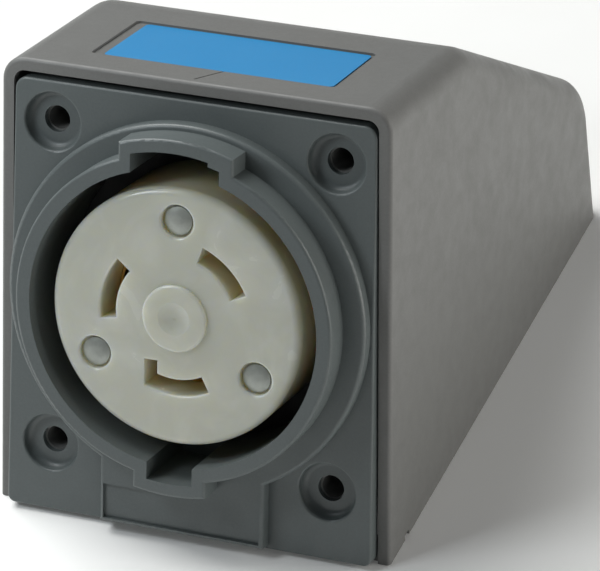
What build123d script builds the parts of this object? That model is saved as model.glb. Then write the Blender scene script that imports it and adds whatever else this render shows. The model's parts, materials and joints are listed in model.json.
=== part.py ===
"""Angled surface box with a locking receptacle, in millimetres.

The box is a wedge-shaped shell that stands on its open mounting face. Its front opening leans back and
holds a cover plate, which carries the receptacle inside a keyed shroud ring.

Row frame: +Z leaves the mounting face, +X is across the box, and -Y points to the front opening. The origin
is the centre of the mounting face. Cover frame: x across, y up the plate, z out of its front face, with its
origin on the receptacle's axis.
"""
from build123d import *
import os
from math import atan2, cos, degrees, radians, sin, sqrt, tan

# ---- Housing ----
HOUSING_LENGTH = 129.6        # along Y at the mounting face
HOUSING_WIDTH = 85.6          # along X at the mounting face
RIM_HEIGHT = 95.1             # up the leaning front opening
RIM_LEAN = 15.0               # degrees that the front opening leans back
TOP_DEPTH = 42.0              # flat top, from the rim back to the bend
BACK_HEIGHT = 32.3            # height of the back wall, to the corner with the slope
WALL = 2.6
DRAFT = 1.0                   # degrees that each side closes in away from the mounting face
BEND_RADIUS = 15.0            # top to slope
SHOULDER_RADIUS = 16.0        # slope to back wall
SIDE_RADIUS = 5.0             # sides to top, slope and back
RIM_EDGE_RADIUS = 0.8
SILL_DEPTH = 7.4              # bar under the front opening
SILL_HEIGHT = 2.4
SILL_GAP = 0.3                # behind the cover plate's rear
NOTCH_DEPTH = 2.2             # relief behind the sill, in each side wall's lower edge
NOTCH_HEIGHT = 1.0
OVERRUN = 12.0                # cutting bodies pass this far beyond what they cut
SAME_HEIGHT = 0.01            # edges this near to a height count as lying in it

# ---- Label and its pocket on the flat top ----
LABEL_POCKET_WIDTH = 52.0
LABEL_POCKET_DEPTH = 22.6
LABEL_POCKET_SETBACK = 8.4    # from the rim
LABEL_POCKET_SINK = 0.5
LABEL_WIDTH = 48.8
LABEL_DEPTH = 21.2
LABEL_SHIFT = 0.9             # the label sits off the pocket's centre
LABEL_THICKNESS = 0.25
LABEL_CORNER = 1.0
GATE_MARK_FRONT = (-0.7, 1.7)   # x, and distance from the rim
GATE_MARK_REAR = (2.7, 8.5)
GATE_MARK_WIDTH = 0.4
GATE_MARK_SINK = 0.2

# ---- Wall screw tabs at the mounting face ----
TAB_SPACING_X = 66.0
TAB_SPACING_Y = 70.0
TAB_CENTRE_Y = 8.0
TAB_THICKNESS = 3.2
TAB_RADIUS = 6.6
TAB_HOLE_RADIUS = 2.6

# ---- Cover plate ----
COVER_TILT = 1.9              # degrees that the plate leans back beyond the rim
COVER_THICKNESS = 3.6
COVER_HEIGHT = 90.9
COVER_DROP = 3.9              # from the rim's top to the plate's top edge
COVER_GAP = 0.35              # between the plate's sides and the housing
COVER_TOP_CORNER = 2.6
COVER_BOTTOM_CORNER = 1.6
COVER_EDGE_RADIUS = 0.5
AXIS_FROM_TOP = 42.4          # receptacle axis, down from the plate's top edge
SCREW_SPACING_X = 60.3
SCREW_SPACING_Y = 68.0
SCREW_HOLE_RADIUS = 2.75
COUNTERBORE_RADIUS = 6.0
COUNTERBORE_DEPTH = 2.3
COUNTERBORE_FLOOR_RADIUS = 1.3
COUNTERBORE_EDGE_RADIUS = 0.4

# ---- Flange disc, block and shroud ring on the plate ----
DISC_RADIUS = 38.25
DISC_RISE = 3.0
DISC_EDGE_RADIUS = 0.8
RING_RADIUS = 33.75
RING_BORE_RADIUS = 30.7
RING_RISE = 9.25
RING_EDGE_RADIUS = 0.6
COLLAR_DEPTH = 12.0           # shroud wall behind the plate's front face
KEY_RADIUS = 37.05            # outside of both keyway housings
KEYWAY_RADIUS = 34.35
KEYWAY_STEP_RADIUS = 33.5
KEYWAY_DEPTH = 8.0            # keyway floor behind the plate's front face
TOP_KEY = (-11.8, 12.45)      # left and right sides of the upper keyway housing
TOP_KEYWAY = (-9.2, 7.2)
TOP_KEYWAY_STEP = 9.6         # right side of the shallower step
LOWER_KEY = (-7.8, 7.8)
LOWER_KEYWAY = (-4.8, 5.0)
BLOCK_WIDTH = 35.6
BLOCK_FOOT = 0.9              # from the plate's lower edge up to the block
BLOCK_HEIGHT = 22.0           # runs up into the disc
POCKET_BORDER = 0.8
POCKET_HEIGHT = 7.4
POCKET_SINK = 0.7

# ---- Housing bosses for the cover screws ----
BOSS_RADIUS = 5.0
BOSS_LENGTH = 14.0
BOSS_RIB = 2.0
BOSS_BORE_RADIUS = 2.4        # thread-forming screws cut their own thread

# ---- Receptacle ----
FACE_RADIUS = 26.6
FACE_SINK = 2.0               # below the shroud ring's front
FACE_EDGE_RADIUS = 1.5
FLANGE_RADIUS = 33.2
FLANGE_THICKNESS = 3.0
GASKET_THICKNESS = 1.0
GASKET_CLEARANCE = 0.2        # between the gasket's bore and the shroud's
CARRIER_INSET = 0.6            # the carrier's side lies inside the face's
CARRIER_LENGTH = 10.0
REAR_INSET = 1.1              # the rear body's side lies inside the face's
REAR_LENGTH = 18.0
REAR_CHAMFER = 1.5
CENTRE_BOSS_RADIUS = 6.9
CENTRE_BOSS_RISE = 0.8
DISH_RADIUS = 3.4
DISH_DEPTH = 0.6
SLOT_INNER_RADIUS = 12.9
SLOT_OUTER_RADIUS = 16.2
SLOT_LEAD_RADIUS = 0.5        # rounding of the slots' and recesses' curved front edges
HOOK_LEFT = -6.5              # inward hook at the ground slot's left end
HOOK_RIGHT = -3.6
HOOK_TOP = -9.4
HOOK_FOOT = -sqrt(SLOT_OUTER_RADIUS ** 2 - HOOK_LEFT ** 2)
HOOK_ANGLE = 360 + degrees(atan2(HOOK_FOOT, HOOK_LEFT))
SLOTS = {"line_x": (140.0, 188.5), "line_y": (25.0, 70.0), "ground": (HOOK_ANGLE, 297.5)}

# ---- Rivets through the receptacle ----
RIVET_INSET = 6.7              # rivets' axes, in from the face's side
RIVET_ANGLES = (90.0, 210.0, 330.0)
RIVET_RADIUS = 2.0
RIVET_HEAD_RADIUS = 2.9
RIVET_HEAD_HEIGHT = 0.9
RIVET_RECESS_RADIUS = 3.4
RIVET_RECESS_DEPTH = 1.4

# ---- Mounting bridge and its screws ----
BRIDGE_THICKNESS = 1.6
BRIDGE_CLEARANCE = 1.0        # between the bridge's bore and the carrier
BRIDGE_RADIUS = 36.0
BRIDGE_EAR_RADIUS = 4.5
BRIDGE_SCREW_CIRCLE = 37.5
BRIDGE_SCREW_RADIUS = 1.3
BRIDGE_SCREW_HOLE_RADIUS = 1.6
BRIDGE_SCREW_REACH = 8.0      # thread length in the plate's pillars
BRIDGE_HEAD_RADIUS = 2.9
BRIDGE_HEAD_HEIGHT = 1.9
PILLAR_RADIUS = 4.0

# ---- Contacts and terminals ----
LEAF_THICKNESS = 0.55
LEAF_GAP = 0.1                # between a leaf and the slot's wall
LEAF_END_ANGLE = 3.0          # degrees that a leaf stops short of its slot's ends
LEAF_FRONT_SINK = 9.0         # below the receptacle's front
CONTACT_BASE_DEPTH = 2.5      # contact base behind the receptacle face's rear
CONTACT_METAL = 1.5
PLATE_WIDTH = 10.0
PLATE_RADIUS = 20.2           # outer face of the terminal plates, from the axis
PLATE_THICKNESS = 1.2
TERMINAL_DEPTH = 9.0          # screw axis behind the rear body's front
TERMINAL_POCKET_LENGTH = 13.0
TERMINAL_POCKET_INNER = 9.8
POCKET_CLEARANCE = 0.2
SCREW_SHANK_RADIUS = 2.0
SCREW_HEAD_RADIUS = 3.8
SCREW_HEAD_HEIGHT = 2.5
SCREW_INNER_END = 10.6        # distance of the shank's tip from the axis
SCREW_CLEARANCE = 0.05
SCREW_SLOT_WIDTH = 0.9
SCREW_SLOT_DEPTH = 1.2
DRIVER_HOLE_RADIUS = 4.3
CLAMP_THICKNESS = 2.5
CLAMP_OUTER = 14.4            # outer face of an open clamp, from the axis
CLAMP_LENGTH = 9.6
WIRE_HOLE_RADIUS = 1.9

# ---- Derived places ----
HALF_LENGTH = HOUSING_LENGTH / 2
GASKET_BORE_RADIUS = RING_BORE_RADIUS + GASKET_CLEARANCE
CARRIER_RADIUS = FACE_RADIUS - CARRIER_INSET
REAR_RADIUS = FACE_RADIUS - REAR_INSET
BRIDGE_BORE_RADIUS = CARRIER_RADIUS + BRIDGE_CLEARANCE
RIVET_CIRCLE_RADIUS = FACE_RADIUS - RIVET_INSET
COVER_LEAN = RIM_LEAN + COVER_TILT
AXIS_DROP = COVER_DROP + AXIS_FROM_TOP
FACE_FRONT = RING_RISE - FACE_SINK
FACE_REAR = -(COLLAR_DEPTH + GASKET_THICKNESS + FLANGE_THICKNESS)
CARRIER_REAR = FACE_REAR - CARRIER_LENGTH
REAR_END = CARRIER_REAR - REAR_LENGTH
BRIDGE_REAR = FACE_REAR - BRIDGE_THICKNESS
TERMINAL_Z = CARRIER_REAR - TERMINAL_DEPTH
COVER_BOTTOM = AXIS_FROM_TOP - COVER_HEIGHT


def leaning_plane(y, z, lean):
    """A plane that faces the front and leans back by lean degrees."""
    normal = (0, -cos(radians(lean)), sin(radians(lean)))
    return Plane(origin=(0, y, z), x_dir=(1, 0, 0), z_dir=normal)


RIM_PLANE = leaning_plane(-HALF_LENGTH, 0, RIM_LEAN)
RIM_TOP = RIM_PLANE.from_local_coords(Vector(0, RIM_HEIGHT, 0))
COVER_UP = Vector(0, sin(radians(COVER_LEAN)), cos(radians(COVER_LEAN)))
COVER_ORIGIN = RIM_TOP - COVER_UP * AXIS_DROP
COVER_PLANE = leaning_plane(COVER_ORIGIN.Y, COVER_ORIGIN.Z, COVER_LEAN)
COVER_REAR = RIM_PLANE.to_local_coords(COVER_PLANE.from_local_coords(Vector(0, 0, -COVER_THICKNESS)))
SILL_SETBACK = SILL_GAP - COVER_REAR.Z - (COVER_REAR.Y - SILL_HEIGHT) * tan(radians(COVER_TILT))


def box_between(low, high):
    """A box from its low corner to its high corner."""
    size = [b - a for a, b in zip(low, high)]
    centre = [(a + b) / 2 for a, b in zip(low, high)]
    return Pos(*centre) * Box(*size)


def rod(radius, low, high):
    """A cylinder on the z axis between two heights."""
    return Pos(0, 0, (low + high) / 2) * Cylinder(radius, high - low)


def polar(radius, angle):
    """The point at a radius and an angle in degrees."""
    return radius * cos(radians(angle)), radius * sin(radians(angle))


def half_width(z, inset):
    """Half of the housing's width at height z, moved in by inset."""
    return HOUSING_WIDTH / 2 - z * tan(radians(DRAFT)) - inset


# ---- Housing ----
def inset_corner(corner, normal_a, normal_b, inset):
    """The corner of two walls after both have moved in by inset."""
    return corner - (normal_a + normal_b) * (inset / (1 + normal_a.dot(normal_b)))


def side_outline(inset, overrun):
    """Side view of the housing (Y, Z), with its upper walls moved in and its openings overrun."""
    lean = radians(RIM_LEAN)
    inward = Vector(cos(lean), -sin(lean))
    top_normal = Vector(sin(lean), cos(lean))
    foot = Vector(-HALF_LENGTH, 0)
    rim_top = foot + top_normal * RIM_HEIGHT
    bend = rim_top + inward * TOP_DEPTH
    shoulder = Vector(HALF_LENGTH, BACK_HEIGHT)
    slope = (shoulder - bend).normalized()
    slope_normal = Vector(-slope.Y, slope.X)
    back_normal = Vector(1, 0)
    inner_bend = inset_corner(bend, top_normal, slope_normal, inset)
    inner_shoulder = inset_corner(shoulder, slope_normal, back_normal, inset)
    front_top = rim_top - top_normal * inset - inward * overrun
    front_foot = foot - inward * overrun - top_normal * overrun
    back_foot = Vector(HALF_LENGTH - inset, -overrun)
    points = [front_foot, front_top, inner_bend, inner_shoulder, back_foot]
    outline = Plane.YZ * make_face(Polyline(*[(p.X, p.Y) for p in points], close=True))
    corners = outline.vertices()
    bend_vertex = corners.sort_by_distance((0, inner_bend.X, inner_bend.Y))[0]
    outline = fillet(bend_vertex, BEND_RADIUS - inset)
    shoulder_vertex = outline.vertices().sort_by_distance((0, inner_shoulder.X, inner_shoulder.Y))[0]
    return fillet(shoulder_vertex, SHOULDER_RADIUS - inset)


def drafted_body(inset, overrun):
    """The housing's outer form or its cavity: the side view between two drafted sides."""
    body = extrude(side_outline(inset, overrun), HOUSING_WIDTH, both=True)
    low, high = -2 * OVERRUN, RIM_HEIGHT + OVERRUN
    sides = [
        (-half_width(low, inset), low), (half_width(low, inset), low),
        (half_width(high, inset), high), (-half_width(high, inset), high),
    ]
    walls = extrude(Plane.XZ * make_face(Polyline(*sides, close=True)), 2 * HOUSING_LENGTH, both=True)
    body = body & walls
    return fillet(crown_edges(body), SIDE_RADIUS - inset)


def crown_edges(body):
    """The long edges where the two sides meet the top, slope and back."""
    found = []
    for side in body.faces().filter_by(lambda face: abs(face.normal_at().X) > 0.9):
        for edge in side.edges():
            middle = edge.position_at(0.5)
            on_front = RIM_PLANE.to_local_coords(middle).Z > -0.01
            on_foot = abs(edge.tangent_at(0.5).Y) > 0.99 and middle.Z < 0.01
            if not (on_front or on_foot):
                found.append(edge)
    return found


def rim_edges(body):
    """The outer edges of the front opening, without its foot."""
    found = []
    for edge in body.edges():
        in_rim = all(abs(RIM_PLANE.to_local_coords(edge.position_at(t)).Z) < 0.01 for t in (0, 0.5, 1))
        if in_rim and edge.position_at(0.5).Z > 0.01:
            found.append(edge)
    return found


def front_sill():
    """The bar under the front opening, which ties the two sides together."""
    reach = half_width(0, WALL / 2)
    bar = box_between((-reach, -OVERRUN, -SILL_SETBACK - SILL_DEPTH), (reach, SILL_HEIGHT, -SILL_SETBACK))
    above_foot = box_between((-reach, -HOUSING_LENGTH, 0), (reach, HOUSING_LENGTH, OVERRUN))
    return (RIM_PLANE.location * bar) & above_foot


def foot_notches():
    """Reliefs in the side walls' lower edges, just behind the sill."""
    start = -HALF_LENGTH + (SILL_SETBACK + SILL_DEPTH) / cos(radians(RIM_LEAN))
    return box_between((-HOUSING_WIDTH, start, -1), (HOUSING_WIDTH, start + NOTCH_DEPTH, NOTCH_HEIGHT))


def screw_places():
    """The cover screws' places in the cover frame."""
    x, y = SCREW_SPACING_X / 2, SCREW_SPACING_Y / 2
    return [(-x, y), (x, y), (-x, -y), (x, -y)]


def cover_boss(x, y):
    """One boss behind the cover plate, with a rib to the side wall and, at the top, one to the top wall."""
    seat = -COVER_THICKNESS
    end = seat - BOSS_LENGTH
    boss = Pos(x, y, 0) * rod(BOSS_RADIUS, end, seat)
    outside = half_width(0, WALL / 2) * (1 if x > 0 else -1)
    boss += box_between((min(x, outside), y - BOSS_RIB / 2, end), (max(x, outside), y + BOSS_RIB / 2, seat))
    if y > 0:
        roof = AXIS_DROP - WALL / 2
        boss += box_between((x - BOSS_RIB / 2, y, end), (x + BOSS_RIB / 2, roof, seat))
    return boss - Pos(x, y, 0) * rod(BOSS_BORE_RADIUS, end - 1, seat)


def tab_places():
    """The wall screws' places on the mounting face."""
    x, y = TAB_SPACING_X / 2, TAB_SPACING_Y / 2
    return [(sx * x, TAB_CENTRE_Y + sy * y) for sx in (-1, 1) for sy in (-1, 1)]


def wall_tab(x, y):
    """One rounded tab inside the side wall, with a hole for a wall screw."""
    outside = half_width(0, WALL / 2) * (1 if x > 0 else -1)
    tab = Pos(x, y, 0) * rod(TAB_RADIUS, 0, TAB_THICKNESS)
    tab += box_between((min(x, outside), y - TAB_RADIUS, 0), (max(x, outside), y + TAB_RADIUS, TAB_THICKNESS))
    return tab - Pos(x, y, 0) * rod(TAB_HOLE_RADIUS, -1, TAB_THICKNESS + 1)


def top_plane():
    """The flat top, with x across the box and y going back from the rim."""
    up = Vector(0, sin(radians(RIM_LEAN)), cos(radians(RIM_LEAN)))
    return Plane(origin=RIM_TOP, x_dir=(1, 0, 0), z_dir=up)


def label_pocket():
    """The shallow pocket that the rating label is stuck in."""
    low = (-LABEL_POCKET_WIDTH / 2, LABEL_POCKET_SETBACK, -LABEL_POCKET_SINK)
    high = (LABEL_POCKET_WIDTH / 2, LABEL_POCKET_SETBACK + LABEL_POCKET_DEPTH, OVERRUN)
    pocket = box_between(low, high)
    return top_plane().location * fillet(pocket.edges().filter_by(Axis.Z), LABEL_CORNER)


def gate_mark():
    """The narrow slanting groove that the moulding gate left between the rim and the label pocket."""
    (x1, y1), (x2, y2) = GATE_MARK_FRONT, GATE_MARK_REAR
    half = GATE_MARK_WIDTH / 2
    corners = [(x1 - half, y1), (x1 + half, y1), (x2 + half, y2), (x2 - half, y2)]
    outline = make_face(Polyline(*corners, close=True))
    return top_plane().location * Pos(0, 0, -GATE_MARK_SINK) * extrude(outline, OVERRUN)


def make_housing():
    outer = drafted_body(0, 0)
    outer = fillet(rim_edges(outer), RIM_EDGE_RADIUS)
    shell = outer - drafted_body(WALL, OVERRUN)
    shell += front_sill() & outer
    shell -= foot_notches()
    bosses = [COVER_PLANE.location * cover_boss(x, y) for x, y in screw_places()]
    tabs = [wall_tab(x, y) for x, y in tab_places()]
    for piece in bosses + tabs:
        shell += piece & outer
    return shell - label_pocket() - gate_mark()


def make_rating_label():
    middle = LABEL_POCKET_SETBACK + LABEL_POCKET_DEPTH / 2
    label = Pos(LABEL_SHIFT, middle, LABEL_THICKNESS / 2 - LABEL_POCKET_SINK) * Box(
        LABEL_WIDTH, LABEL_DEPTH, LABEL_THICKNESS)
    return top_plane().location * fillet(label.edges().filter_by(Axis.Z), LABEL_CORNER)


# ---- Cover plate ----
def cover_half_width(y):
    """Half of the plate's width at height y in the cover frame."""
    z = COVER_ORIGIN.Z + y * cos(radians(COVER_LEAN))
    return half_width(z, WALL + COVER_GAP)


def cover_blank():
    """The flat plate, which follows the housing's drafted sides."""
    top, bottom = cover_half_width(AXIS_FROM_TOP), cover_half_width(COVER_BOTTOM)
    outline = make_face(Polyline((-bottom, COVER_BOTTOM), (bottom, COVER_BOTTOM),
                                 (top, AXIS_FROM_TOP), (-top, AXIS_FROM_TOP), close=True))
    outline = fillet(outline.vertices().group_by(Axis.Y)[-1], COVER_TOP_CORNER)
    outline = fillet(outline.vertices().group_by(Axis.Y)[0], COVER_BOTTOM_CORNER)
    plate = extrude(outline, -COVER_THICKNESS)
    return fillet(plate.faces().sort_by(Axis.Z)[-1].edges(), COVER_EDGE_RADIUS)


def key_housing(sides, upper):
    """A wall that stands round a keyway, bounded by two straight sides and an arc."""
    low, high = (0, KEY_RADIUS) if upper else (-KEY_RADIUS, 0)
    block = box_between((sides[0], low, -COLLAR_DEPTH), (sides[1], high, RING_RISE))
    return block & rod(KEY_RADIUS, -COLLAR_DEPTH, RING_RISE)


def keyway(sides, radius, upper):
    """The keyway's hollow, from the ring's front to its floor."""
    low, high = (0, radius) if upper else (-radius, 0)
    block = box_between((sides[0], low, -KEYWAY_DEPTH), (sides[1], high, RING_RISE + 1))
    return block & rod(radius, -KEYWAY_DEPTH, RING_RISE + 1)


def front_form():
    """The disc and the block that stand up from the plate."""
    disc = rod(DISC_RADIUS, -COVER_THICKNESS, DISC_RISE)
    half, foot = BLOCK_WIDTH / 2, COVER_BOTTOM + BLOCK_FOOT
    block = box_between((-half, foot, -COVER_THICKNESS), (half, foot + BLOCK_HEIGHT, DISC_RISE))
    form = disc + block
    return fillet(form.faces().sort_by(Axis.Z)[-1].edges(), DISC_EDGE_RADIUS)


def block_pocket():
    """The shallow rectangular pocket in the block's front."""
    reach = BLOCK_WIDTH / 2 - POCKET_BORDER
    low = COVER_BOTTOM + BLOCK_FOOT + POCKET_BORDER
    return box_between((-reach, low, DISC_RISE - POCKET_SINK), (reach, low + POCKET_HEIGHT, DISC_RISE + 1))


def shroud():
    """The ring wall with its two keyway housings, before its bore is cut."""
    ring = rod(RING_RADIUS, -COLLAR_DEPTH, RING_RISE)
    ring += key_housing(TOP_KEY, True)
    ring += key_housing(LOWER_KEY, False)
    return fillet(ring.faces().sort_by(Axis.Z)[-1].edges(), RING_EDGE_RADIUS)


def bridge_screw_places():
    """The bridge screws' places in the cover frame."""
    return [polar(BRIDGE_SCREW_CIRCLE, angle) for angle in RIVET_ANGLES]


def counterbore():
    """A screw hole's cutting body: the through hole and a counterbore with a rounded floor and rim."""
    top = OVERRUN + COUNTERBORE_DEPTH
    bore = rod(COUNTERBORE_RADIUS, -COUNTERBORE_DEPTH, top)
    bore = fillet(bore.faces().sort_by(Axis.Z)[0].edges(), COUNTERBORE_FLOOR_RADIUS)
    edge = COUNTERBORE_EDGE_RADIUS
    flare = rod(COUNTERBORE_RADIUS + edge, -edge, top)
    lip = Pos(0, 0, -edge) * Torus(COUNTERBORE_RADIUS + edge, edge)
    return bore + (flare - lip) + rod(SCREW_HOLE_RADIUS, -COVER_THICKNESS - 1, 0)


def make_cover_plate():
    cover = cover_blank() + front_form()
    cover += shroud()
    for x, y in bridge_screw_places():
        cover += Pos(x, y, 0) * rod(PILLAR_RADIUS, FACE_REAR, -COVER_THICKNESS / 2)
    cover -= rod(RING_BORE_RADIUS, -COLLAR_DEPTH - OVERRUN, RING_RISE + 1)
    cover -= keyway(TOP_KEYWAY, KEYWAY_RADIUS, True)
    cover -= keyway((0, TOP_KEYWAY_STEP), KEYWAY_STEP_RADIUS, True)
    cover -= keyway(LOWER_KEYWAY, KEYWAY_RADIUS, False)
    cover -= block_pocket()
    for x, y in bridge_screw_places():
        cover -= Pos(x, y, 0) * rod(BRIDGE_SCREW_RADIUS, FACE_REAR - 1, FACE_REAR + BRIDGE_SCREW_REACH)
    for x, y in screw_places():
        cover -= Pos(x, y, 0) * counterbore()
    return cover


# ---- Receptacle ----
def sector(inner, outer, start, end, low, high):
    """A ring sector between two radii, two angles and two heights."""
    far = 2 * outer
    middle = (start + end) / 2
    wedge = make_face(Polyline((0, 0), polar(far, start), polar(far, middle), polar(far, end), close=True))
    ring = rod(outer, low, high) - rod(inner, low - 1, high + 1)
    return ring & (Pos(0, 0, low) * extrude(wedge, high - low))


def rivet_places():
    """The rivets' places in the cover frame."""
    return [polar(RIVET_CIRCLE_RADIUS, angle) for angle in RIVET_ANGLES]


def slot_centre(name):
    """The middle angle of a contact's slot."""
    start, end = SLOTS[name]
    return (start + end) / 2


def blade_slots():
    """The three curved slots, right through the face."""
    low, high = FACE_REAR - 1, FACE_FRONT + 2
    cut = [sector(SLOT_INNER_RADIUS, SLOT_OUTER_RADIUS, *span, low, high) for span in SLOTS.values()]
    cut.append(box_between((HOOK_LEFT, HOOK_FOOT, low), (HOOK_RIGHT, HOOK_TOP, high)))
    return cut


def front_edges(face):
    """The curved edges of the slots and rivet recesses that lie in the face's front."""
    edges = face.edges().filter_by(GeomType.CIRCLE)
    edges = edges.filter_by_position(Axis.Z, FACE_FRONT - SAME_HEIGHT, FACE_FRONT + SAME_HEIGHT)
    inner, outer = CENTRE_BOSS_RADIUS + 1, FACE_RADIUS - FACE_EDGE_RADIUS - 1
    return [edge for edge in edges if inner < sqrt(edge.center().X ** 2 + edge.center().Y ** 2) < outer]


def make_receptacle_face():
    face = rod(FACE_RADIUS, FACE_REAR, FACE_FRONT)
    face = fillet(face.faces().sort_by(Axis.Z)[-1].edges(), FACE_EDGE_RADIUS)
    top = FACE_FRONT + CENTRE_BOSS_RISE
    boss = rod(CENTRE_BOSS_RADIUS, 0, top)
    face += fillet(boss.faces().sort_by(Axis.Z)[-1].edges(), CENTRE_BOSS_RISE * 0.7)
    sphere = (DISH_RADIUS ** 2 + DISH_DEPTH ** 2) / (2 * DISH_DEPTH)
    face -= Pos(0, 0, top - DISH_DEPTH + sphere) * Sphere(sphere)
    for slot in blade_slots():
        face -= slot
    for x, y in rivet_places():
        face -= Pos(x, y, 0) * rod(RIVET_RECESS_RADIUS, FACE_FRONT - RIVET_RECESS_DEPTH, FACE_FRONT + 1)
    face = fillet(front_edges(face), SLOT_LEAD_RADIUS)
    for x, y in rivet_places():
        face -= Pos(x, y, 0) * rod(RIVET_RADIUS, FACE_REAR - 1, FACE_FRONT)
    return face


def make_seating_ring():
    high = FACE_REAR + FLANGE_THICKNESS
    return rod(FLANGE_RADIUS, FACE_REAR, high) - rod(FACE_RADIUS, FACE_REAR - 1, high + 1)


def make_flange_gasket():
    low, high = FACE_REAR + FLANGE_THICKNESS, -COLLAR_DEPTH
    return rod(FLANGE_RADIUS, low, high) - rod(GASKET_BORE_RADIUS, low - 1, high + 1)


def radial_box(inner, outer, width, low, high):
    """A box that lies along +x from the receptacle's axis."""
    return box_between((inner, -width / 2, low), (outer, width / 2, high))


def radial_rod(radius, inner, outer):
    """A cylinder along +x at the height of the terminal screws."""
    return Pos((inner + outer) / 2, 0, TERMINAL_Z) * Rot(0, 90, 0) * Cylinder(radius, outer - inner)


def make_contact_carrier():
    carrier = rod(CARRIER_RADIUS, CARRIER_REAR, FACE_REAR)
    low, high = CARRIER_REAR - 1, FACE_REAR + 1
    middle = (SLOT_INNER_RADIUS + SLOT_OUTER_RADIUS) / 2
    width = PLATE_WIDTH + 2 * POCKET_CLEARANCE
    arm_top = FACE_REAR - CONTACT_BASE_DEPTH + CONTACT_METAL
    for name, (start, end) in SLOTS.items():
        carrier -= sector(SLOT_INNER_RADIUS, SLOT_OUTER_RADIUS, start, end, low, high)
        arm_room = radial_box(middle, PLATE_RADIUS + POCKET_CLEARANCE, width, low, arm_top)
        carrier -= Rot(0, 0, slot_centre(name)) * arm_room
    for x, y in rivet_places():
        carrier -= Pos(x, y, 0) * rod(RIVET_RADIUS, low, high)
    return carrier


def terminal_pocket():
    """The hollow for one terminal, along +x: clamp space, plate slit, driver hole and wire hole."""
    width = PLATE_WIDTH + 2 * POCKET_CLEARANCE
    outer = PLATE_RADIUS + POCKET_CLEARANCE
    half = TERMINAL_POCKET_LENGTH / 2
    pocket = radial_box(TERMINAL_POCKET_INNER, outer, width, TERMINAL_Z - half, TERMINAL_Z + half)
    slit = PLATE_RADIUS - PLATE_THICKNESS - POCKET_CLEARANCE
    pocket += radial_box(slit, outer, width, TERMINAL_Z, CARRIER_REAR + 1)
    pocket += radial_rod(DRIVER_HOLE_RADIUS, outer - 1, REAR_RADIUS + 2)
    wire = (CLAMP_OUTER + PLATE_RADIUS - PLATE_THICKNESS) / 2
    return pocket + Pos(wire, 0, 0) * rod(WIRE_HOLE_RADIUS, REAR_END - 1, TERMINAL_Z)


def make_rear_body():
    body = rod(REAR_RADIUS, REAR_END, CARRIER_REAR)
    body = chamfer(body.faces().sort_by(Axis.Z)[0].edges(), REAR_CHAMFER)
    for name in SLOTS:
        body -= Rot(0, 0, slot_centre(name)) * terminal_pocket()
    for x, y in rivet_places():
        body -= Pos(x, y, 0) * rod(RIVET_RADIUS, REAR_END - 1, CARRIER_REAR + 1)
    return body


def make_contact(name):
    """One brass contact: two curved leaves on a base, and the plate that the terminal screw passes."""
    start, end = SLOTS[name]
    start, end = start + LEAF_END_ANGLE, end - LEAF_END_ANGLE
    inner, outer = SLOT_INNER_RADIUS + LEAF_GAP, SLOT_OUTER_RADIUS - LEAF_GAP
    base = FACE_REAR - CONTACT_BASE_DEPTH
    front = FACE_FRONT - LEAF_FRONT_SINK
    contact = sector(inner, outer, start, end, base, base + CONTACT_METAL)
    contact += sector(inner, inner + LEAF_THICKNESS, start, end, base, front)
    contact += sector(outer - LEAF_THICKNESS, outer, start, end, base, front)
    slit = PLATE_RADIUS - PLATE_THICKNESS
    foot = TERMINAL_Z - TERMINAL_POCKET_LENGTH / 2 + POCKET_CLEARANCE
    arm = radial_box((inner + outer) / 2, PLATE_RADIUS, PLATE_WIDTH, base - CONTACT_METAL, base)
    arm += radial_box(slit, PLATE_RADIUS, PLATE_WIDTH, foot, base)
    arm -= radial_rod(SCREW_SHANK_RADIUS + SCREW_CLEARANCE, slit - 1, PLATE_RADIUS + 1)
    return contact + Rot(0, 0, slot_centre(name)) * arm


def make_terminal_screw(name):
    """A slotted screw whose head stays against its terminal plate."""
    seat = PLATE_RADIUS + SCREW_CLEARANCE
    top = seat + SCREW_HEAD_HEIGHT
    head = radial_rod(SCREW_HEAD_RADIUS, seat, top)
    head = fillet(head.edges().filter_by(GeomType.CIRCLE).sort_by(Axis.X)[-1], 0.5)
    screw = head + radial_rod(SCREW_SHANK_RADIUS, SCREW_INNER_END, seat)
    reach = SCREW_HEAD_RADIUS + 1
    floor = top - SCREW_SLOT_DEPTH
    screw -= radial_box(floor, top + 1, SCREW_SLOT_WIDTH, TERMINAL_Z - reach, TERMINAL_Z + reach)
    return Rot(0, 0, slot_centre(name)) * screw


def make_clamp_plate(name):
    """The threaded plate that the terminal screw draws towards the terminal plate."""
    low, high = TERMINAL_Z - CLAMP_LENGTH / 2, TERMINAL_Z + CLAMP_LENGTH / 2
    plate = radial_box(CLAMP_OUTER - CLAMP_THICKNESS, CLAMP_OUTER, PLATE_WIDTH, low, high)
    plate -= radial_rod(SCREW_SHANK_RADIUS + SCREW_CLEARANCE, TERMINAL_POCKET_INNER, CLAMP_OUTER + 1)
    return Rot(0, 0, slot_centre(name)) * plate


def make_assembly_rivets():
    seat = FACE_FRONT - RIVET_RECESS_DEPTH
    head = rod(RIVET_HEAD_RADIUS, seat, seat + RIVET_HEAD_HEIGHT)
    head = fillet(head.faces().sort_by(Axis.Z)[-1].edges(), RIVET_HEAD_HEIGHT * 0.6)
    rivet = head + rod(RIVET_RADIUS, REAR_END, seat)
    rivet += rod(RIVET_HEAD_RADIUS, REAR_END - RIVET_HEAD_HEIGHT, REAR_END)
    return [Pos(x, y, 0) * rivet for x, y in rivet_places()]


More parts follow.
